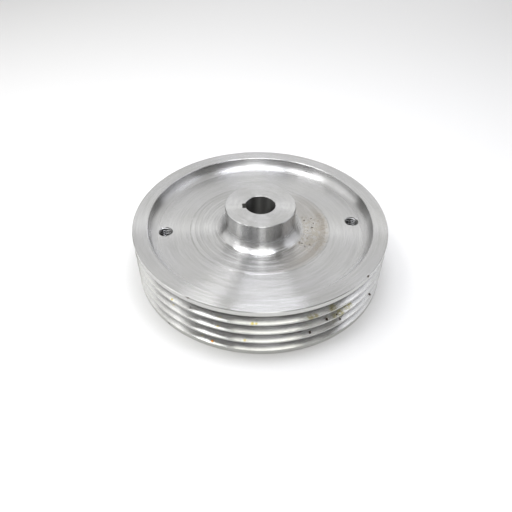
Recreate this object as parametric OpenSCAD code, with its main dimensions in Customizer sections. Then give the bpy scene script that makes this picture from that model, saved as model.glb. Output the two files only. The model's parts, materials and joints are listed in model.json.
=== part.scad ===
// Four-groove narrow V-belt pulley: one turned disc with a rim, a web and a keyed hub, and a set screw
// over the key.
// The pulley lies on its back face. The bore axis is Z, and the hub nose points to +Z.
// The tapped jack holes are on the X axis, and the keyway opens towards -X.

/* [Rim and grooves] */
// Outside diameter of the rim
rim_d = 219.1; // [216:0.1:226]
// Number of belt grooves
groove_count = 4; // [3:1:6]
// Distance from one groove centre to the next
groove_pitch = 10.31; // [10.25:0.01:10.6]
// Width of a groove where it meets the outside diameter
groove_w = 8.89; // [8.6:0.01:9.2]
// Angle between the two flanks of a groove
groove_angle = 40; // [36:1:42]
// Depth of a groove
groove_h = 8.6; // [8:0.1:9]
// Flat land between an end face and the nearest groove
end_land = 4.3; // [3.5:0.1:8]
// Edge break along each crest between grooves
crest_break = 0.2; // [0.1:0.05:0.3]
// Edge break on the corners of the rim
rim_break = 0.4; // [0.2:0.05:0.8]

/* [Web] */
// Diameter of the recess in the front face
front_recess_d = 193.6; // [190:0.1:194.5]
// Depth of the recess in the front face
front_recess_h = 10.4; // [9.8:0.1:12]
// Diameter of the recess in the back face
back_recess_d = 192; // [184:1:193]
// Thickness of the web between the two recesses
web_t = 13.6; // [10:0.1:16]
// Radius of the corners between the web, the rim and the hub
corner_r = 9.5; // [6:0.1:9.5]
// Diameter of the raised pad around the hub
pad_d = 122; // [90:1:140]
// Height of the raised pad around the hub
pad_h = 0.15; // [0.1:0.05:0.5]

/* [Hub] */
// Outside diameter of the hub
hub_d = 60.7; // [52:0.1:66]
// Height of the hub nose above the rim's front face
hub_nose_h = 13.3; // [12:0.1:20]
// Edge break on the corners of the hub
hub_break = 0.5; // [0.2:0.05:1]
// Diameter of the bore
bore_d = 25.4; // [22:0.1:30]
// Chamfer at the mouths of the bore
bore_break = 0.35; // [0.2:0.05:0.8]
// Width of the keyway
key_w = 6.35; // [5:0.05:8]
// Distance from the bore axis to the roof of the keyway
key_roof = 15.6; // [15.3:0.1:17]

/* [Jack holes] */
// Distance between the two jack holes
jack_spacing = 165.1; // [150:0.1:166]
// Tapping diameter of a jack hole
jack_d = 10.72; // [8:0.01:11.5]
// Diameter of the countersink at the mouths of a jack hole
jack_mouth_d = 12.4; // [11.8:0.1:13]

/* [Set screw] */
// Diameter of the set screw
screw_d = 7.94; // [6:0.01:8.5]
// Length of the set screw
screw_l = 9.5; // [8:0.1:10]
// Distance across the flats of the hexagon socket
socket_af = 3.97; // [3:0.01:4.2]
// Depth of the hexagon socket
socket_h = 4.2; // [3:0.1:4.6]
// Diameter of the cup at the point
cup_d = 4; // [3:0.1:4.4]
// Gap between the set screw and its tapped hole
screw_gap = 0.05; // [0.02:0.01:0.1]
// Distance from the bore axis to the point of the set screw
screw_tip = 17; // [16.9:0.1:19]

/* [Hidden] */
$fn = 128;
metal = "#c6c6c8";
black_oxide = "#2e2c2b";

rim_r = rim_d / 2;
hub_r = hub_d / 2;
bore_r = bore_d / 2;
front_r = front_recess_d / 2;
back_r = back_recess_d / 2;
face_w = (groove_count - 1) * groove_pitch + groove_w + 2 * end_land;
floor_z = face_w - front_recess_h;
web_back_z = floor_z - web_t;
hub_h = face_w + hub_nose_h;
screw_z = face_w + hub_nose_h / 2;
flank = tan(groove_angle / 2);
// Overlap that joins neighbouring outlines
lap = 1;
// Overshoot of a cut past the face that it opens
over = 2;

// Fills the inside corner at x, y with a round of radius r; dx and dy point into the open space.
module corner_fill(x, y, dx, dy, r) {
    difference() {
        translate([x - (dx > 0 ? lap : r), y - (dy > 0 ? lap : r)]) square(r + lap);
        translate([x + dx * r, y + dy * r]) circle(r);
    }
}

// Cuts the outside corner at x, y by b; dx and dy point out of the solid.
module corner_cut(x, y, dx, dy, b) {
    polygon([[x - dx * b, y], [x, y - dy * b], [x + dx * lap, y + dy * lap]]);
}

// One groove, centred on z = 0, with an edge break at each side of its mouth.
module groove_outline() {
    mouth = groove_w / 2;
    bottom = mouth - groove_h * flank;
    side = [
        [rim_r + over, mouth + crest_break],
        [rim_r, mouth + crest_break],
        [rim_r - crest_break, mouth - crest_break * flank],
        [rim_r - groove_h, bottom]
    ];
    polygon(concat(side, [for (i = [3:-1:0]) [side[i].x, -side[i].y]]));
}

// Half section of the disc: rim, web and hub with their rounded corners.
module disc_outline() {
    translate([back_r, 0]) square([rim_r - back_r, floor_z]);
    translate([front_r, floor_z - lap]) square([rim_r - front_r, front_recess_h + lap]);
    translate([hub_r - lap, web_back_z]) square([back_r - hub_r + 2 * lap, web_t]);
    translate([hub_r - lap, floor_z - lap]) square([pad_d / 2 - hub_r + lap, pad_h + lap]);
    translate([bore_r, 0]) square([hub_r - bore_r, hub_h]);
    corner_fill(hub_r, floor_z + pad_h, 1, 1, corner_r);
    corner_fill(front_r, floor_z, -1, 1, corner_r);
    corner_fill(hub_r, web_back_z, 1, -1, corner_r);
    corner_fill(back_r, web_back_z, -1, -1, corner_r);
}

module section() {
    difference() {
        disc_outline();
        for (i = [0:groove_count - 1])
            translate([0, end_land + groove_w / 2 + i * groove_pitch]) groove_outline();
        for (end = [[0, -1], [face_w, 1]]) {
            corner_cut(rim_r, end[0], 1, end[1], rim_break);
            corner_cut(end[0] == 0 ? back_r : front_r, end[0], -1, end[1], rim_break);
        }
        for (end = [[0, -1], [hub_h, 1]]) {
            corner_cut(hub_r, end[0], 1, end[1], hub_break);
            corner_cut(bore_r, end[0], -1, end[1], bore_break);
        }
    }
}

// A tapping-size hole through the web, countersunk at both faces.
module jack_hole() {
    sink = (jack_mouth_d - jack_d) / 2;
    translate([0, 0, web_back_z - over]) cylinder(h = web_t + 2 * over, d = jack_d);
    translate([0, 0, floor_z - sink]) cylinder(h = sink + over, d1 = jack_d, d2 = jack_mouth_d + 2 * over);
    translate([0, 0, web_back_z - over]) cylinder(h = sink + over, d1 = jack_mouth_d + 2 * over, d2 = jack_d);
}

// A radial hole from the keyway to the outside of the hub nose.
module screw_hole() {
    translate([0, 0, screw_z]) rotate([0, -90, 0]) cylinder(h = hub_r + over, d = screw_d + 2 * screw_gap);
}

module sheave() {
    color(metal) difference() {
        rotate_extrude() section();
        translate([-key_roof, -key_w / 2, -over]) cube([key_roof, key_w, hub_h + 2 * over]);
        for (side = [-1, 1]) translate([side * jack_spacing / 2, 0, 0]) jack_hole();
        screw_hole();
    }
}

// A cup-point socket set screw, with its point towards the key.
module key_set_screw() {
    screw_r = screw_d / 2;
    point_r = cup_d / 2 + 0.2;
    point_h = screw_r - point_r;
    cup_h = cup_d / 4;
    end_break = 0.6;
    color(black_oxide) translate([-screw_tip, 0, screw_z]) rotate([0, -90, 0]) difference() {
        rotate_extrude() polygon([
            [0, cup_h],
            [cup_d / 2, 0],
            [point_r, 0],
            [screw_r, point_h],
            [screw_r, screw_l - end_break],
            [screw_r - end_break, screw_l],
            [0, screw_l]
        ]);
        translate([0, 0, screw_l - socket_h]) cylinder(h = socket_h + over, d = socket_af / cos(30), $fn = 6);
    }
}

sheave();
key_set_screw();
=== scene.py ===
"""Looks for a four-groove narrow V-belt pulley: a turned aluminium sheave and a black set screw."""

import json
import math
import random

import bmesh
import bpy
from mathutils import Matrix, Vector


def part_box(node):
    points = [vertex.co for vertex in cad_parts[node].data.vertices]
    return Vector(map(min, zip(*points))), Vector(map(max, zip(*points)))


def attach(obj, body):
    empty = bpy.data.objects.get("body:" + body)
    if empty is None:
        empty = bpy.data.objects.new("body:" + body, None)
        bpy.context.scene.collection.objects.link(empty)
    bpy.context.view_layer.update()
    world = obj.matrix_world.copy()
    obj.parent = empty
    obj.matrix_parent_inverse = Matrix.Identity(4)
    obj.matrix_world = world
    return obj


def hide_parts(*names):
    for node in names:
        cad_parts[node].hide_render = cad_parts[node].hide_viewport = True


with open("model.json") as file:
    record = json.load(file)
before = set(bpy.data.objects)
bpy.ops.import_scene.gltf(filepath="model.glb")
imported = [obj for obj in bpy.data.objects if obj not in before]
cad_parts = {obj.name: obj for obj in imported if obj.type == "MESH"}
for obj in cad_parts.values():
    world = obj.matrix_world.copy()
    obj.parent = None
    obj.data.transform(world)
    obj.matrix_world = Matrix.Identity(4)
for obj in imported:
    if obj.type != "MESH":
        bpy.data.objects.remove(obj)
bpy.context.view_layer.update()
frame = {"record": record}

# ---------------------------------------------------------------- sizes, in metres

MM = 0.001
MOUNTS = {m["name"]: m for m in frame["record"]["mounts"]}
SHEAVE_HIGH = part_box("sheave")[1]

RIM_R = SHEAVE_HIGH.x
HUB_TOP = SHEAVE_HIGH.z
BORE_R = MOUNTS["shaft_bore"]["dims"]["r_mm"] * MM
GROOVE_Z = [MOUNTS[f"belt_groove_{i}"]["pos_m"][2] for i in (4, 3, 2, 1)]
JACK_X = MOUNTS["jack_hole_right"]["pos_m"][0]
JACK_R = MOUNTS["jack_hole_right"]["dims"]["r_mm"] * MM

GROOVE_W = 8.89 * MM
GROOVE_H = 8.6 * MM
FLANK = math.tan(math.radians(20))
END_LAND = 4.3 * MM
CREST_ROUND = 0.25 * MM
ROOT_ROUND = 0.6 * MM
EDGE_BREAK = 0.4 * MM

FACE_Z = GROOVE_Z[0] + GROOVE_W / 2 + END_LAND
FLOOR_Z = FACE_Z - 10.4 * MM
WEB_BACK_Z = FLOOR_Z - 13.6 * MM
FRONT_R = 96.8 * MM
BACK_R = 96.0 * MM
CORNER_R = 9.5 * MM
PAD_R = 61.0 * MM
PAD_Z = FLOOR_Z + 0.15 * MM

HUB_R = 30.35 * MM
HUB_BREAK = 0.5 * MM
# Height of the ripples that the tool left on the hub's face
HUB_WAVE = 0.002 * MM
BORE_BREAK = 0.35 * MM
KEY_W = 6.35 * MM
KEY_ROOF = 15.6 * MM

JACK_MOUTH_R = 6.2 * MM
JACK_THREAD_R = 6.35 * MM
JACK_PITCH = 25.4 / 13 * MM

SCREW_Z = (FACE_Z + HUB_TOP) / 2
SCREW_R = 3.97 * MM
SCREW_PITCH = 25.4 / 18 * MM
SOCKET_AF = 3.97 * MM
SOCKET_H = 4.2 * MM

# How far a cut runs past the face that it opens, and how close two points may come before they are one
OVER = 2 * MM
SAME_POINT = 0.001 * MM
SEGMENTS = 300
RANDOM = random.Random(3)


# ---------------------------------------------------------------- meshes

def new_object(name, mesh):
    made = bpy.data.objects.new(name, mesh)
    bpy.context.scene.collection.objects.link(made)
    return made


def mesh_from(name, points, faces):
    mesh = bpy.data.meshes.new(name)
    mesh.from_pydata(points, [], faces)
    shape = bmesh.new()
    shape.from_mesh(mesh)
    bmesh.ops.recalc_face_normals(shape, faces=shape.faces)
    shape.to_mesh(mesh)
    shape.free()
    return mesh


class Outline:
    """A half section in the plane of radius and height, drawn with lines and arcs."""

    def __init__(self, r, z):
        self.points = [(r, z)]

    def line(self, r, z):
        self.points.append((r, z))

    def arc(self, centre, radius, start, end, steps):
        """Adds points from angle start to angle end, in degrees, around centre."""
        for i in range(steps + 1):
            a = math.radians(start + (end - start) * i / steps)
            self.points.append((centre[0] + radius * math.cos(a), centre[1] + radius * math.sin(a)))

    def turned(self, r, z, spacing, depth):
        """A turned line to r, z, with the fine waves that the tool's feed leaves."""
        r0, z0 = self.points[-1]
        length = math.hypot(r - r0, z - z0)
        steps = max(2, round(length / spacing))
        along_r = abs(r - r0) > abs(z - z0)
        for i in range(1, steps + 1):
            t = i / steps
            rr, zz = r0 + (r - r0) * t, z0 + (z - z0) * t
            wave = depth * RANDOM.uniform(-1, 1) if i < steps else 0
            self.points.append((rr, zz + wave) if along_r else (rr + wave, zz))


def revolve(name, outline, segments):
    """Closes an outline into a ring around Z."""
    clean = [outline[0]]
    for p in outline[1:]:
        if math.hypot(p[0] - clean[-1][0], p[1] - clean[-1][1]) > SAME_POINT:
            clean.append(p)
    count = len(clean)
    points, faces = [], []
    for i in range(segments):
        a = 2 * math.pi * i / segments
        points += [(r * math.cos(a), r * math.sin(a), z) for r, z in clean]
        j = (i + 1) % segments
        for k in range(count):
            n = (k + 1) % count
            faces.append((i * count + k, j * count + k, j * count + n, i * count + n))
    return mesh_from(name, points, faces)


def thread_rod(name, minor, major, pitch, low, high, segments=48):
    """A rod along Z with a 60 degree thread on it, for cutting a tapped hole or as a screw's body."""
    rise = (major - minor) * math.tan(math.radians(30))
    crest = pitch / 8
    root = pitch - crest - 2 * rise
    section = [(0, minor), (root, minor), (root + rise, major), (root + rise + crest, major)]
    rows = len(section)
    turns = math.ceil((high - low) / pitch)
    points = []
    for row in range(rows * turns):
        z, r = section[row % rows]
        z += low + pitch * (row // rows)
        for s in range(segments):
            a = 2 * math.pi * s / segments
            points.append((r * math.cos(a), r * math.sin(a), z + pitch * s / segments))

    def at(row, s):
        return (row + rows) * segments if s == segments else row * segments + s

    last = rows * turns - 1
    faces = []
    for row in range(last):
        for s in range(segments):
            if s == segments - 1 and row + 1 + rows > last:
                continue
            faces.append((at(row, s), at(row, s + 1), at(row + 1, s + 1), at(row + 1, s)))
    bottom = [at(0, s) for s in range(segments)] + [row * segments for row in range(rows, 0, -1)]
    top = [at(last, s) for s in range(segments)]
    top += [row * segments + segments - 1 for row in range(last - 1, last - rows - 1, -1)]
    pole_gap = 0.2 * pitch
    points.append((0, 0, low - pole_gap))
    points.append((0, 0, points[-2][2] + pitch / segments + pole_gap))
    for loop, pole in ((bottom, len(points) - 2), (top, len(points) - 1)):
        for i, corner in enumerate(loop):
            faces.append((corner, loop[(i + 1) % len(loop)], pole))
    return mesh_from(name, points, faces)


def solid_of_revolution(name, profile, segments):
    """A closed solid from a profile that starts and ends on the axis."""
    ring = profile[1:-1]
    points = [(0, 0, profile[0][1]), (0, 0, profile[-1][1])]
    for s in range(segments):
        a = 2 * math.pi * s / segments
        points += [(r * math.cos(a), r * math.sin(a), z) for r, z in ring]
    faces = []
    count = len(ring)
    for s in range(segments):
        here = 2 + s * count
        there = 2 + (s + 1) % segments * count
        faces.append((0, here, there))
        faces.append((1, there + count - 1, here + count - 1))
        for k in range(count - 1):
            faces.append((here + k, here + k + 1, there + k + 1, there + k))
    return new_object(name, mesh_from(name, points, faces))


def box_mesh(name, low, high):
    shape = bmesh.new()
    bmesh.ops.create_cube(shape, size=1)
    size = Vector(high) - Vector(low)
    middle = (Vector(high) + Vector(low)) / 2
    place = Matrix.Translation(middle) @ Matrix.Diagonal((*size, 1))
    bmesh.ops.transform(shape, matrix=place, verts=shape.verts)
    mesh = bpy.data.meshes.new(name)
    shape.to_mesh(mesh)
    shape.free()
    return mesh


def combine(target, tool, operation="DIFFERENCE"):
    """Cuts target with tool, or keeps what they share, and removes the tool."""
    step = target.modifiers.new("cut", "BOOLEAN")
    step.operation = operation
    step.solver = "MANIFOLD"
    step.object = tool
    graph = bpy.context.evaluated_depsgraph_get()
    done = bpy.data.meshes.new_from_object(target.evaluated_get(graph))
    target.modifiers.clear()
    target.data = done
    bpy.data.objects.remove(tool)


def smooth(piece, sharp_degrees=22):
    """Merges points that the cuts left in one place, and shades the faces smooth between sharp edges."""
    shape = bmesh.new()
    shape.from_mesh(piece.data)
    bmesh.ops.remove_doubles(shape, verts=shape.verts, dist=2 * SAME_POINT)
    bmesh.ops.dissolve_degenerate(shape, edges=shape.edges, dist=SAME_POINT)
    shape.to_mesh(piece.data)
    shape.free()
    piece.data.shade_smooth()
    piece.data.set_sharp_from_angle(angle=math.radians(sharp_degrees))


# ---------------------------------------------------------------- sheave

def sheave_outline():
    """The half section of the sheave, from the back of the bore round to the back of the hub."""
    path = Outline(BORE_R, BORE_BREAK)
    path.line(BORE_R, HUB_TOP - BORE_BREAK)
    path.line(BORE_R + BORE_BREAK, HUB_TOP - HUB_WAVE)
    path.turned(HUB_R - HUB_BREAK, HUB_TOP - HUB_WAVE, 1.2 * MM, HUB_WAVE)
    path.line(HUB_R, HUB_TOP - HUB_BREAK)
    path.turned(HUB_R, PAD_Z + CORNER_R, 1.5 * MM, 0.002 * MM)
    path.arc((HUB_R + CORNER_R, PAD_Z + CORNER_R), CORNER_R, 180, 252, 16)
    path.arc((HUB_R + CORNER_R, PAD_Z + CORNER_R), CORNER_R, 254, 270, 8)
    path.turned(PAD_R - 0.5 * MM, PAD_Z, 0.5 * MM, 0.005 * MM)
    path.line(PAD_R, FLOOR_Z)
    path.turned(FRONT_R - CORNER_R, FLOOR_Z, 0.8 * MM, 0.004 * MM)
    path.arc((FRONT_R - CORNER_R, FLOOR_Z + CORNER_R), CORNER_R, -90, 0, 18)
    path.line(FRONT_R, FACE_Z - EDGE_BREAK)
    path.line(FRONT_R + EDGE_BREAK, FACE_Z)
    path.turned(RIM_R - EDGE_BREAK, FACE_Z, 1.2 * MM, 0.003 * MM)
    path.line(RIM_R, FACE_Z - EDGE_BREAK)
    for centre in GROOVE_Z:
        groove(path, centre)
    path.line(RIM_R, EDGE_BREAK)
    path.line(RIM_R - EDGE_BREAK, 0)
    path.line(BACK_R + EDGE_BREAK, 0)
    path.line(BACK_R, EDGE_BREAK)
    path.turned(BACK_R, WEB_BACK_Z - CORNER_R, 2.5 * MM, 0.003 * MM)
    path.arc((BACK_R - CORNER_R, WEB_BACK_Z - CORNER_R), CORNER_R, 0, 90, 10)
    path.turned(HUB_R + CORNER_R, WEB_BACK_Z, 2.5 * MM, 0.004 * MM)
    path.arc((HUB_R + CORNER_R, WEB_BACK_Z - CORNER_R), CORNER_R, 90, 180, 10)
    path.turned(HUB_R, HUB_BREAK, 3 * MM, 0.003 * MM)
    path.line(HUB_R - HUB_BREAK, 0)
    path.line(BORE_R + BORE_BREAK, 0)
    return [(r, z - ring_depth(r, z)) for r, z in path.points]


# Rings that the tool left on the pad around the hub, as radius, half width and depth. A negative depth is
# a raised ring.
PAD_RINGS = [
    (37.9 * MM, 0.6 * MM, 0.10 * MM),
    (40.2 * MM, 0.7 * MM, 0.10 * MM),
    (45.5 * MM, 0.9 * MM, -0.05 * MM),
    (48.0 * MM, 0.8 * MM, 0.06 * MM),
    (51.0 * MM, 1.2 * MM, -0.06 * MM),
    (53.2 * MM, 0.8 * MM, 0.06 * MM),
]


def ring_depth(r, z):
    """How far the tool's rings lower a point of the pad."""
    if not FLOOR_Z - MM < z < FLOOR_Z + MM:
        return 0
    return sum(depth * max(0, 1 - abs(r - ring) / half) for ring, half, depth in PAD_RINGS)


def groove(path, centre):
    """One V groove with rounded crests and a flat bottom with rounded corners."""
    lean = math.atan(FLANK)
    slope = math.degrees(lean)
    tangent = (1 - math.sin(lean)) / math.cos(lean)
    mouth = GROOVE_W / 2 + CREST_ROUND * tangent
    bottom = GROOVE_W / 2 - GROOVE_H * FLANK
    tuck = ROOT_ROUND * tangent
    crest_r = RIM_R - CREST_ROUND
    root_r = RIM_R - GROOVE_H + ROOT_ROUND
    path.arc((crest_r, centre + mouth), CREST_ROUND, 0, slope - 90, 4)
    path.arc((root_r, centre + bottom - tuck), ROOT_ROUND, 90 + slope, 180, 3)
    path.arc((root_r, centre - bottom + tuck), ROOT_ROUND, 180, 270 - slope, 3)
    path.arc((crest_r, centre - mouth), CREST_ROUND, 90 - slope, 0, 4)


def jack_cutter(x):
    """A threaded rod with a countersink at each face of the web, along Z at x."""
    low, high = WEB_BACK_Z - 2 * OVER, FLOOR_Z + 2 * OVER
    rod = new_object("jack_cutter", thread_rod("jack_thread", JACK_R, JACK_THREAD_R, JACK_PITCH, low, high))
    reach = 1.5 * OVER
    for face, way in ((FLOOR_Z, 1), (WEB_BACK_Z, -1)):
        sink = JACK_MOUTH_R - JACK_R
        profile = [
            (0, face - way * sink), (JACK_R, face - way * sink),
            (JACK_MOUTH_R + reach, face + way * reach), (0, face + way * reach)]
        cone = solid_of_revolution("countersink", profile, 64)
        combine(rod, cone, "UNION")
    rod.data.transform(Matrix.Translation((x, 0, 0)))
    return rod


def radial(distance):
    """Carries something modelled along +Z to the set screw's axis, which points to -X."""
    return Matrix.Translation((-distance, 0, SCREW_Z)) @ Matrix.Rotation(math.radians(-90), 4, "Y")


def screw_hole_cutter():
    """A threaded rod from inside the bore to past the hub, a little wider than the set screw."""
    relief, thread_depth = 0.06 * MM, 0.5 * MM
    start, end = 9 * MM, 33 * MM
    rod = new_object("screw_cutter", thread_rod(
        "screw_hole_thread", SCREW_R + relief, SCREW_R + thread_depth, SCREW_PITCH, start, end, 36))
    rod.data.transform(radial(0))
    return rod


def rim_radius(height):
    """The sheave's radius at a height on the rim, down into the grooves."""
    gap = min(abs(height - centre) for centre in GROOVE_Z)
    return RIM_R - min(GROOVE_H, max(0.0, (GROOVE_W / 2 - gap) / FLANK))


def on_rim(angle, height):
    """The place on the rim at an angle in degrees, where -90 is the front, and a height in millimetres."""
    radius = rim_radius(height * MM)
    turn = math.radians(angle)
    return Vector((radius * math.cos(turn), radius * math.sin(turn), height * MM))


# Pinholes and nicks in the rim, as angle in degrees, and height and radius in millimetres.
RIM_PITS = [
    (-79, 16.5, 0.9), (-75, 15.5, 0.9), (-68, 25.5, 1.0), (-63, 25.5, 0.6), (-60, 15.5, 0.7),
    (-47, 48.5, 0.9), (-39, 15.0, 0.9), (-125, 36.0, 0.5), (-125, 48.5, 0.8), (-138, 2.0, 0.8),
    (35, 26.0, 0.7), (100, 15.5, 0.8), (160, 36.0, 0.6),
]


def dent_cutter():
    """Small knobbly balls, one for each dent, as a single mesh."""
    shape = bmesh.new()
    for angle, height, radius in RIM_PITS:
        ball = bmesh.ops.create_icosphere(shape, subdivisions=2, radius=radius * MM)
        for corner in ball["verts"]:
            corner.co *= RANDOM.uniform(0.75, 1.1)
            corner.co += on_rim(angle, height)
    mesh = bpy.data.meshes.new("dents")
    shape.to_mesh(mesh)
    shape.free()
    return new_object("dent_cutter", mesh)


def make_sheave():
    piece = new_object("turned_sheave", revolve("turned_sheave", sheave_outline(), SEGMENTS))
    inside_bore = -8 * MM
    low, high = (-KEY_ROOF, -KEY_W / 2, -OVER), (inside_bore, KEY_W / 2, HUB_TOP + OVER)
    combine(piece, new_object("keyway_cutter", box_mesh("keyway_cutter", low, high)))
    for side in (-1, 1):
        combine(piece, jack_cutter(side * abs(JACK_X)))
    combine(piece, screw_hole_cutter())
    combine(piece, dent_cutter())
    smooth(piece)
    piece.data.materials.clear()
    piece.data.materials.append(turned_metal())
    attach(piece, "sheave")
    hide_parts("sheave")


# ---------------------------------------------------------------- set screw

def make_set_screw():
    """A cup-point socket set screw with a cut thread, in the place of its CAD node."""
    low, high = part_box("key_set_screw")
    tip = -high.x
    length = high.x - low.x
    thread_depth = 0.55 * MM
    spare = 2 * SCREW_PITCH
    piece = new_object("key_screw_detail", thread_rod(
        "key_screw_detail", SCREW_R - thread_depth, SCREW_R, SCREW_PITCH, -spare, length + spare))

    cup_r, cup_depth, point_land, chamfer = 2.0 * MM, 0.9 * MM, 0.2 * MM, 0.6 * MM
    point_r = cup_r + point_land
    blank = solid_of_revolution("blank", [
        (0, cup_depth), (cup_r, 0), (point_r, 0), (SCREW_R, SCREW_R - point_r),
        (SCREW_R, length - chamfer), (SCREW_R - chamfer, length), (0, length)], 96)
    combine(piece, blank, "INTERSECT")

    corner_r, bottom_r, bottom = SOCKET_AF / math.sqrt(3), SOCKET_AF / 1.9, length - SOCKET_H
    hexagon = solid_of_revolution("hexagon", [
        (0, bottom - 0.6 * MM), (bottom_r, bottom), (corner_r, bottom + 0.1 * MM),
        (corner_r, length + OVER), (0, length + OVER)], 6)
    combine(piece, hexagon)
    piece.data.transform(radial(tip))
    smooth(piece, 30)
    piece.data.materials.clear()
    piece.data.materials.append(black_oxide())
    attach(piece, "key_screw")
    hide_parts("key_set_screw")


# ---------------------------------------------------------------- materials

class Graph:
    """Builds a node material. A value is a socket or a plain number, and places are in millimetres."""

    def __init__(self, name):
        self.material = bpy.data.materials.new(name)
        self.material.use_nodes = True
        self.tree = self.material.node_tree
        self.shader = self.tree.nodes["Principled BSDF"]
        self.place = self.scaled(self.tree.nodes.new("ShaderNodeTexCoord").outputs["Object"], 1000)
        split = self.tree.nodes.new("ShaderNodeSeparateXYZ")
        self.tree.links.new(self.place, split.inputs[0])
        self.x, self.y, self.z = split.outputs
        self.r = self.math("SQRT", self.math("ADD", self.math("MULTIPLY", self.x, self.x),
                                             self.math("MULTIPLY", self.y, self.y)))
        self.angle = self.math("MULTIPLY", self.math("ARCTAN2", self.y, self.x), math.degrees(1))

    def feed(self, socket, value):
        if isinstance(value, bpy.types.NodeSocket):
            self.tree.links.new(value, socket)
        else:
            socket.default_value = value

    def scaled(self, vector, factor):
        made = self.tree.nodes.new("ShaderNodeVectorMath")
        made.operation = "SCALE"
        self.feed(made.inputs[0], vector)
        self.feed(made.inputs["Scale"], factor)
        return made.outputs[0]

    def math(self, operation, *values):
        made = self.tree.nodes.new("ShaderNodeMath")
        made.operation = operation
        for socket, value in zip(made.inputs, values):
            self.feed(socket, value)
        return made.outputs[0]

    def step(self, value, low, high, bottom=0.0, top=1.0):
        """Goes smoothly from bottom to top while value goes from low to high."""
        made = self.tree.nodes.new("ShaderNodeMapRange")
        made.interpolation_type = "SMOOTHSTEP"
        for name, setting in (("Value", value), ("From Min", low), ("From Max", high),
                              ("To Min", bottom), ("To Max", top)):
            self.feed(made.inputs[name], setting)
        return made.outputs[0]

    def over(self, value, limit, edge):
        """Zero up to the limit, and one from edge above it."""
        return self.step(value, limit, limit + edge)

    def under(self, value, limit, edge):
        """One up to the limit, and zero from edge above it."""
        return self.step(value, limit, limit + edge, 1.0, 0.0)

    def between(self, value, low, high, edge):
        """One where value lies between low and high, with soft edges."""
        rise = self.step(value, low - edge, low + edge)
        return self.math("MULTIPLY", rise, self.step(value, high - edge, high + edge, 1.0, 0.0))

    def times(self, *values):
        total = values[0]
        for value in values[1:]:
            total = self.math("MULTIPLY", total, value)
        return total

    def sway(self, noise, amount, middle=1.0):
        """Goes up and down round middle with the noise."""
        return self.math("MULTIPLY_ADD", self.math("SUBTRACT", noise, 0.5), amount, middle)

    def noise(self, vector, scale, detail=2.0, w=0.0):
        made = self.tree.nodes.new("ShaderNodeTexNoise")
        made.noise_dimensions = "4D"
        for name, setting in (("Vector", vector), ("W", w), ("Scale", scale), ("Detail", detail)):
            self.feed(made.inputs[name], setting)
        return made.outputs["Fac"]

    def rings(self, per_mm, arcs, detail=2.0):
        """Noise in rings round the axis, with per_mm changes across them and about arcs breaks in one."""
        spot = self.tree.nodes.new("ShaderNodeCombineXYZ")
        self.feed(spot.inputs[0], self.math("MULTIPLY", self.r, per_mm))
        self.feed(spot.inputs[1], self.math("MULTIPLY", self.z, per_mm))
        self.feed(spot.inputs[2], self.math("MULTIPLY", self.math("DIVIDE", self.x, self.r), arcs))
        across = self.math("MULTIPLY", self.math("DIVIDE", self.y, self.r), arcs)
        return self.noise(spot.outputs[0], 1.0, detail, across)

    def spots(self, places, edge=0.35):
        """One inside any of the round spots (x, y, z, radius), in millimetres."""
        total = 0.0
        for x, y, z, radius in places:
            gap = self.tree.nodes.new("ShaderNodeVectorMath")
            gap.operation = "DISTANCE"
            self.feed(gap.inputs[0], self.place)
            gap.inputs[1].default_value = (x, y, z)
            spot = self.step(gap.outputs["Value"], radius * (1 - edge), radius * (1 + edge), 1.0, 0.0)
            total = spot if total == 0.0 else self.math("MAXIMUM", total, spot)
        return total

    def mix(self, factor, first, second):
        made = self.tree.nodes.new("ShaderNodeMix")
        made.data_type = "RGBA"
        self.feed(made.inputs["Factor"], factor)
        for socket, value in ((made.inputs[6], first), (made.inputs[7], second)):
            self.feed(socket, value if isinstance(value, bpy.types.NodeSocket) else (*value, 1))
        return made.outputs[2]

    def bump(self, height, distance, under=None):
        made = self.tree.nodes.new("ShaderNodeBump")
        self.feed(made.inputs["Height"], height)
        made.inputs["Distance"].default_value = distance * MM
        if under:
            self.tree.links.new(under, made.inputs["Normal"])
        return made.outputs[0]


METAL_WARM = (0.505, 0.505, 0.49)
METAL_COOL = (0.50, 0.50, 0.515)
# Painted highlight: a light grey that brightens the crests and the outer groove flanks.
CREST_HIGHLIGHT = (0.64, 0.64, 0.62)
STAIN_BEIGE = (0.45, 0.41, 0.34)
STAIN_BROWN = (0.33, 0.30, 0.265)
OIL_OLIVE = (0.30, 0.27, 0.10)
SPECK_YELLOW = (0.55, 0.48, 0.20)
SPECK_ORANGE = (0.70, 0.30, 0.04)
SPECK_BROWN = (0.07, 0.05, 0.035)
LINE_GREY = (0.36, 0.36, 0.35)
STROKE_GREY = (0.20, 0.20, 0.19)
# Painted shade: a dark grey for the depths of the belt grooves.
GROOVE_SHADE_GREY = (0.20, 0.20, 0.19)
MOTTLE_GREY = (0.33, 0.32, 0.28)
# Painted shade: near black for the insides of the jack holes.
JACK_SHADE = (0.03, 0.03, 0.028)
# Painted shade: a dark grey for the bore and the keyway.
BORE_SHADE = (0.16, 0.16, 0.155)

# Rings on the pad, as radius, half width and strength.
PAD_LINES = [
    (39.2, 0.3, 0.4), (44.2, 0.3, 0.4), (48.0, 0.4, 0.5), (53.0, 0.3, 0.4), (57.0, 0.3, 0.5),
    (61.2, 0.4, 0.8),
]
# Strokes at the hub's foot, as radius, half width, and start and end angle in degrees.
FOOT_STROKES = [
    (37.5, 0.5, -147, -130), (39.2, 0.35, -140, -124), (37.4, 0.6, -80, -58), (39.4, 0.5, -66, -45),
    (35.2, 0.4, -78, -60),
]

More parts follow.
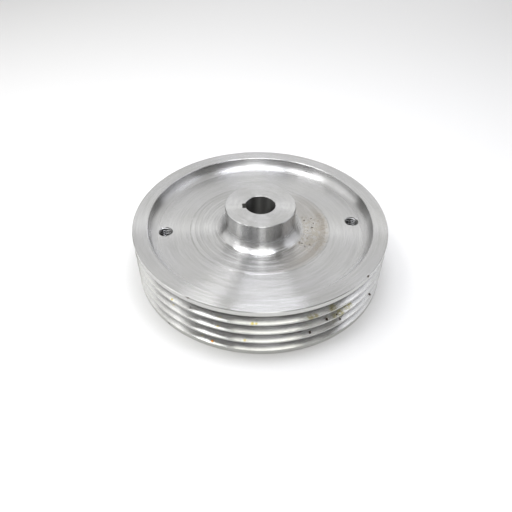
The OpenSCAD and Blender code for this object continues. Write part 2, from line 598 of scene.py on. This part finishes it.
# Specks and oil on the rim, as angle in degrees, and height and radius in millimetres.
YELLOW_SPECKS = [
    (-134, 35.5, 0.9), (-135, 26.0, 0.6), (-121, 5.5, 0.6), (-113, 25.5, 0.9), (-112, 36.0, 0.6),
    (-102, 15.0, 0.9), (-99, 35.5, 1.2), (-97.5, 35.5, 0.9),
]
ORANGE_SPECKS = [(-116, 5.0, 1.1)]
OIL_PATCHES = [
    (-76, 35.5, 2.6), (-74, 35.5, 2.2), (-66, 36.0, 3.2), (-64, 25.5, 2.4), (-61, 25.5, 3.4),
    (-57, 26.0, 3.0), (-55, 26.0, 2.2),
]


def rim_spots(marks, growth=1.0):
    """Marks on the rim as x, y, z and radius in millimetres."""
    return [(*(on_rim(angle, height) / MM), radius * growth) for angle, height, radius in marks]


def pad_specks(count):
    """Pits scattered over the stained side of the pad, as x, y, z and radius in millimetres."""
    places = []
    for _ in range(count):
        radius, turn = RANDOM.uniform(38, 49), math.radians(RANDOM.uniform(-42, 16))
        size = RANDOM.uniform(0.4, 0.9)
        places.append((radius * math.cos(turn), radius * math.sin(turn), PAD_Z / MM, size))
    return places


class SheaveGraph(Graph):
    """A material for the sheave. Each zone is one inside and zero outside, and sizes are in millimetres."""

    def __init__(self, name):
        super().__init__(name)
        self.fine = self.rings(2.4, 5.0)
        self.broad = self.rings(0.45, 2.5)
        self.cloud = self.noise(self.place, 0.035, 3.0)
        self.blotch = self.noise(self.place, 0.35, 3.0)
        self.add_faces()
        self.add_hollows()

        stain_zone = self.times(self.between(self.r, 38.0, 60.0, 2.0),
                                self.between(self.angle, -44.0, 12.0, 9.0), self.pad)
        self.stain = self.times(stain_zone, self.step(self.blotch, 0.38, 0.62))
        self.specks = self.spots(pad_specks(14) + rim_spots(RIM_PITS, 1.3))

    def add_faces(self):
        """The zones of the turned faces."""
        floor, face, top = FLOOR_Z / MM, FACE_Z / MM, HUB_TOP / MM
        self.recess = self.times(self.between(self.r, 30.0, 97.0, 0.3),
                                 self.between(self.z, floor - 1, face - 0.6, 0.3))
        hub_round = self.between(self.r, 30.2, 37.0, 0.8)
        rim_round = self.between(self.r, 89.0, 97.2, 0.8)
        self.rounds = self.times(self.recess, self.math("ADD", hub_round, rim_round))
        self.pad = self.times(self.between(self.r, 37.5, 60.8, 0.6),
                              self.between(self.z, floor - 1, floor + 1, 0.3))
        self.hub_face = self.times(self.under(self.r, 29.8, 0.1), self.over(self.z, top - 0.3, 0.1))
        self.hub_wall = self.times(self.between(self.r, 30.2, 31.0, 0.1),
                                   self.between(self.z, floor + 9.0, top - 0.4, 0.3))

        self.below_face = self.under(self.z, face - 0.3, 0.1)
        flanks = self.times(self.between(self.r, 99.0, 109.45, 0.05), self.under(self.z, face - 1.0, 0.1))
        # The inner part of the groove flanks, where the colour gets painted shade and the roughness rises.
        self.depths = self.times(flanks, self.step(self.r, 103.6, 106.4, 1.0, 0.0))

    def add_hollows(self):
        """The insides of the bore with its keyway, and of the jack holes."""
        bore = self.under(self.r, BORE_R / MM + 0.1, 0.1)
        half_key = KEY_W / MM / 2 + 0.225
        keyway = self.times(self.under(self.x, -1.0, 1.0), self.between(self.y, -half_key, half_key, 0.05),
                            self.under(self.r, KEY_ROOF / MM + 0.7, 0.1))
        below_mouth = self.step(self.z, HUB_TOP / MM - 0.6, HUB_TOP / MM - 0.3, 1.0, 0.0)
        self.bore = self.times(self.math("MAXIMUM", bore, keyway), below_mouth)

        from_jack = self.math("SUBTRACT", self.math("ABSOLUTE", self.x), abs(JACK_X) / MM)
        self.jack_r = self.math("SQRT", self.math("ADD", self.times(from_jack, from_jack),
                                                  self.times(self.y, self.y)))
        jack = self.times(self.under(self.jack_r, 6.6, 0.2), self.under(self.z, FLOOR_Z / MM - 0.6, 0.5))
        self.jack = self.times(jack, self.over(self.z, WEB_BACK_Z / MM + 0.1, 0.5))


def bare_metal(g):
    """Streaks in rings and soft clouds over the whole part, and stronger rings on the pad."""
    pad_rings = g.times(g.pad, g.math("SUBTRACT", g.rings(0.75, 1.2, 1.0), 0.5))
    shade = g.math("MULTIPLY_ADD", pad_rings, 0.55, g.sway(g.broad, 0.22))
    shade = g.times(shade, g.sway(g.cloud, 0.16), g.sway(g.fine, 0.26))
    return g.scaled(g.mix(g.cloud, METAL_WARM, METAL_COOL), shade)


def rim_painted_light_and_mottle(g, colour):
    """Painted shade in the depths of the belt grooves, a painted highlight on the crests and outer flanks,
    and a mottled skin.
    """
    # Painted shade in the depths of the belt grooves.
    colour = g.mix(g.times(g.depths, 0.8), colour, GROOVE_SHADE_GREY)
    # Painted highlight: the crests and the outer groove flanks lighter towards the rim's edge.
    worn = g.times(g.step(g.r, 106.0, 109.5, 0.0, 0.75), g.below_face)
    colour = g.mix(worn, colour, CREST_HIGHLIGHT)
    skin = g.times(g.between(g.r, 99.0, 110.0, 0.05), g.below_face)
    mottle = g.step(g.noise(g.place, 0.9, 4.0), 0.50, 0.68)
    return g.mix(g.times(skin, mottle, 0.30), colour, MOTTLE_GREY)


def pad_marks(g, colour):
    """A darker band on the pad, patchy dark lines on it, and broken dark strokes at the foot of the hub."""
    band = g.times(g.between(g.r, 52.7, 57.8, 0.4), g.pad, 0.22)
    colour = g.mix(band, colour, LINE_GREY)
    patches = g.step(g.blotch, 0.30, 0.60)
    for radius, half, strength in PAD_LINES:
        line = g.between(g.r, radius - half, radius + half, 0.25)
        colour = g.mix(g.times(line, patches, strength), colour, LINE_GREY)
    for radius, half, start, end in FOOT_STROKES:
        across = g.between(g.r, radius - half, radius + half, 0.3)
        along = g.between(g.angle, start, end, 3.0)
        colour = g.mix(g.times(across, along, g.recess, 0.75), colour, STROKE_GREY)
    return colour


def stains(g, colour):
    """A darker right side of the pad, with a beige stain beside the hub and a brown arc outside it."""
    # Darkens the right side of the pad with the stain's brown.
    darker_right_side = g.times(g.between(g.r, 38.0, 60.5, 1.0), g.between(g.angle, -85.0, 45.0, 14.0), g.pad)
    colour = g.mix(g.times(darker_right_side, 0.30), colour, STAIN_BROWN)
    colour = g.mix(g.times(g.stain, 0.55), colour, STAIN_BEIGE)
    arc = g.times(g.between(g.r, 52.5, 57.5, 1.2), g.between(g.angle, -60.0, 20.0, 9.0), g.pad)
    return g.mix(g.times(arc, 0.45), colour, STAIN_BROWN)


def oil_and_specks(g, colour):
    """Oil and coloured specks on the rim, and brown pits on the rim and the pad."""
    oil = g.times(g.spots(rim_spots(OIL_PATCHES), 0.5), g.step(g.blotch, 0.36, 0.56))
    colour = g.mix(g.times(oil, 0.75), colour, OIL_OLIVE)
    colour = g.mix(g.spots(rim_spots(YELLOW_SPECKS)), colour, SPECK_YELLOW)
    colour = g.mix(g.spots(rim_spots(ORANGE_SPECKS)), colour, SPECK_ORANGE)
    return g.mix(g.specks, colour, SPECK_BROWN)


def painted_shade_in_hollows(g, colour):
    """Painted shade: a dark bore and keyway, and near-black jack holes whose thread is darker at its roots
    than at its crests.
    """
    # Painted shade in the bore and the keyway.
    colour = g.mix(g.bore, colour, BORE_SHADE)
    # Painted shade in the jack holes, darkest at the thread's roots.
    thread = g.step(g.jack_r, 5.4, 5.8, 0.35, 1.0)
    return g.mix(g.times(g.jack, thread), colour, JACK_SHADE)


def metal_roughness(g):
    """Smoother on the hub, and rougher on the rounds, in the hollows and on stains and pits."""
    rough = g.sway(g.broad, 0.06, 0.22)
    marks = g.math("MAXIMUM", g.stain, g.specks)
    for zone, change in ((g.rounds, 0.06), (g.depths, 0.10), (g.hub_wall, -0.02), (g.hub_face, -0.03),
                         (marks, 0.10), (g.bore, 0.20), (g.jack, 0.03)):
        rough = g.math("MULTIPLY_ADD", zone, change, rough)
    return rough


def turned_metal():
    """Turned aluminium with rings from the tool, a painted highlight on the crests, painted shade in the
    grooves and hollows, oil, specks and stains.
    """
    g = SheaveGraph("turned_metal")
    colour = bare_metal(g)
    for layer in (rim_painted_light_and_mottle, pad_marks, stains, oil_and_specks, painted_shade_in_hollows):
        colour = layer(g, colour)
    g.feed(g.shader.inputs["Base Color"], colour)
    g.feed(g.shader.inputs["Roughness"], metal_roughness(g))
    g.shader.inputs["Metallic"].default_value = 1.0

    # The reflections run round the axis, as on turned metal.
    g.shader.inputs["Anisotropic"].default_value = 1.0
    g.shader.inputs["Anisotropic Rotation"].default_value = 0.25
    tangent = g.tree.nodes.new("ShaderNodeTangent")
    tangent.direction_type = "RADIAL"
    tangent.axis = "Z"
    g.tree.links.new(tangent.outputs["Tangent"], g.shader.inputs["Tangent"])

    pits = g.math("SUBTRACT", 1.0, g.specks)
    relief = g.bump(pits, 0.15, g.bump(g.fine, 0.035, g.bump(g.broad, 0.03)))
    g.tree.links.new(relief, g.shader.inputs["Normal"])
    return g.material


OXIDE_BLACK = (0.045, 0.043, 0.042)
OXIDE_WORN = (0.12, 0.11, 0.10)


def black_oxide():
    """Black oxide on steel, worn thin in patches, with a fine grain."""
    g = Graph("black_oxide")
    wear = g.noise(g.place, 1.6, 4.0)
    grain = g.noise(g.place, 9.0, 2.0)
    g.feed(g.shader.inputs["Base Color"], g.mix(g.step(wear, 0.45, 0.75), OXIDE_BLACK, OXIDE_WORN))
    g.feed(g.shader.inputs["Roughness"], g.step(grain, 0.2, 0.8, 0.30, 0.48))
    g.shader.inputs["Metallic"].default_value = 1.0
    g.tree.links.new(g.bump(grain, 0.01), g.shader.inputs["Normal"])
    return g.material


TABLE_SHADED = (0.79, 0.79, 0.79)
TABLE_WHITE = (0.82, 0.82, 0.82)


def white_table():
    """A matt white table top with a barely visible grain."""
    g = Graph("white_table")
    grain = g.noise(g.place, 0.5, 3.0)
    g.feed(g.shader.inputs["Base Color"], g.mix(grain, TABLE_SHADED, TABLE_WHITE))
    g.shader.inputs["Roughness"].default_value = 0.9
    g.shader.inputs["Specular IOR Level"].default_value = 0.2
    return g.material


# ---------------------------------------------------------------- studio

CAMERA_LENS = 34.70
CAMERA_AZIMUTH = -6.257
CAMERA_ELEVATION = 42.448
CAMERA_ROLL = 0.755
CAMERA_DISTANCE = 392.5 * MM
CAMERA_AIM = Vector((-8.67 * MM, -49.5 * MM, FACE_Z))
OBJECT_CENTRE = Vector((0, 0, 30 * MM))


def make_camera():
    data = bpy.data.cameras.new("camera")
    data.lens = CAMERA_LENS
    data.sensor_width = 36
    data.clip_start = 0.01
    data.clip_end = 50
    camera = bpy.data.objects.new("camera", data)
    bpy.context.scene.collection.objects.link(camera)
    azimuth, elevation = math.radians(CAMERA_AZIMUTH), math.radians(CAMERA_ELEVATION)
    level = math.cos(elevation)
    back = Vector((math.sin(azimuth) * level, -math.cos(azimuth) * level, math.sin(elevation)))
    turn = back.to_track_quat("Z", "Y").to_matrix().to_4x4()
    roll = Matrix.Rotation(math.radians(CAMERA_ROLL), 4, "Z")
    camera.matrix_world = Matrix.Translation(CAMERA_AIM + back * CAMERA_DISTANCE) @ turn @ roll
    bpy.context.scene.camera = camera


def seen_from_camera(across, away, up):
    """A point that far to the right of the object, behind it and above it, as the camera looks."""
    turn = Matrix.Rotation(math.radians(CAMERA_AZIMUTH), 4, "Z")
    return turn @ Vector((across, away, up)) + OBJECT_CENTRE


def softbox(name, place, size, radiance, colour, level=False):
    """A rectangular light of an even radiance that faces the object, or straight down where it is level."""
    width, height = size
    data = bpy.data.lights.new(name, "AREA")
    data.shape = "RECTANGLE"
    data.size = width
    data.size_y = height
    data.energy = radiance * math.pi * width * height
    data.color = colour
    lamp = bpy.data.objects.new(name, data)
    bpy.context.scene.collection.objects.link(lamp)
    middle = seen_from_camera(*place)
    facing = (middle - OBJECT_CENTRE).to_track_quat("Z", "Y")
    if level:
        facing = Matrix.Rotation(math.radians(CAMERA_AZIMUTH), 4, "Z").to_quaternion()
    lamp.matrix_world = Matrix.Translation(middle) @ facing.to_matrix().to_4x4()


def make_lights():
    """Light strips under a low ceiling, and pale boards round the table."""
    cool, plain, warm = (0.93, 0.94, 1.0), (1.0, 1.0, 1.0), (1.0, 1.0, 0.95)
    softbox("ceiling_strip", (0.045, 0.0, 0.6), (0.29, 0.16), 11.0, cool, level=True)
    softbox("ceiling_middle", (0.05, -0.12, 0.6), (0.33, 0.07), 2.0, plain, level=True)
    softbox("ceiling_strip_front", (0.05, -0.26, 0.6), (0.4, 0.19), 3.2, warm, level=True)
    softbox("ceiling_strip_left", (-0.25, -0.03, 0.6), (0.19, 0.34), 7.4, plain, level=True)
    softbox("ceiling_far_left", (-0.5, 0.1, 0.6), (0.2, 0.44), 2.0, plain, level=True)
    softbox("ceiling_right", (0.3, -0.05, 0.6), (0.18, 0.36), 1.0, plain, level=True)
    softbox("ceiling_far_right", (0.52, 0.12, 0.6), (0.24, 0.34), 2.2, cool, level=True)
    softbox("ceiling_back", (0.0, 0.48, 0.6), (1.5, 0.57), 0.72, plain, level=True)
    softbox("left_board", (-1.0, 0.1, 0.45), (0.9, 0.6), 1.2, plain)
    softbox("right_board", (1.0, 0.15, 0.45), (0.9, 0.6), 0.8, cool)
    softbox("back_board", (0.0, 1.0, 0.45), (1.9, 0.62), 0.82, plain)
    softbox("front_board", (0.08, -0.62, 0.5), (0.24, 0.34), 2.0, plain)
    softbox("left_front_board", (-0.72, -0.3, 0.5), (0.24, 0.34), 2.4, plain)
    softbox("backdrop", (0.2, 1.4, 0.08), (1.2, 0.2), 3.0, cool)


def make_studio():
    reach, thickness = 3.0, 0.02
    floor = new_object("floor", box_mesh("floor", (-reach, -reach, -thickness), (reach, reach, 0)))
    floor.data.materials.append(white_table())
    make_lights()
    world = bpy.data.worlds.new("world")
    world.use_nodes = True
    background = world.node_tree.nodes["Background"]
    background.inputs["Color"].default_value = (1, 0.98, 0.94, 1)
    background.inputs["Strength"].default_value = 0.2
    bpy.context.scene.world = world
    bpy.context.scene.view_settings.view_transform = "Standard"


make_camera()
make_sheave()
make_set_screw()
make_studio()
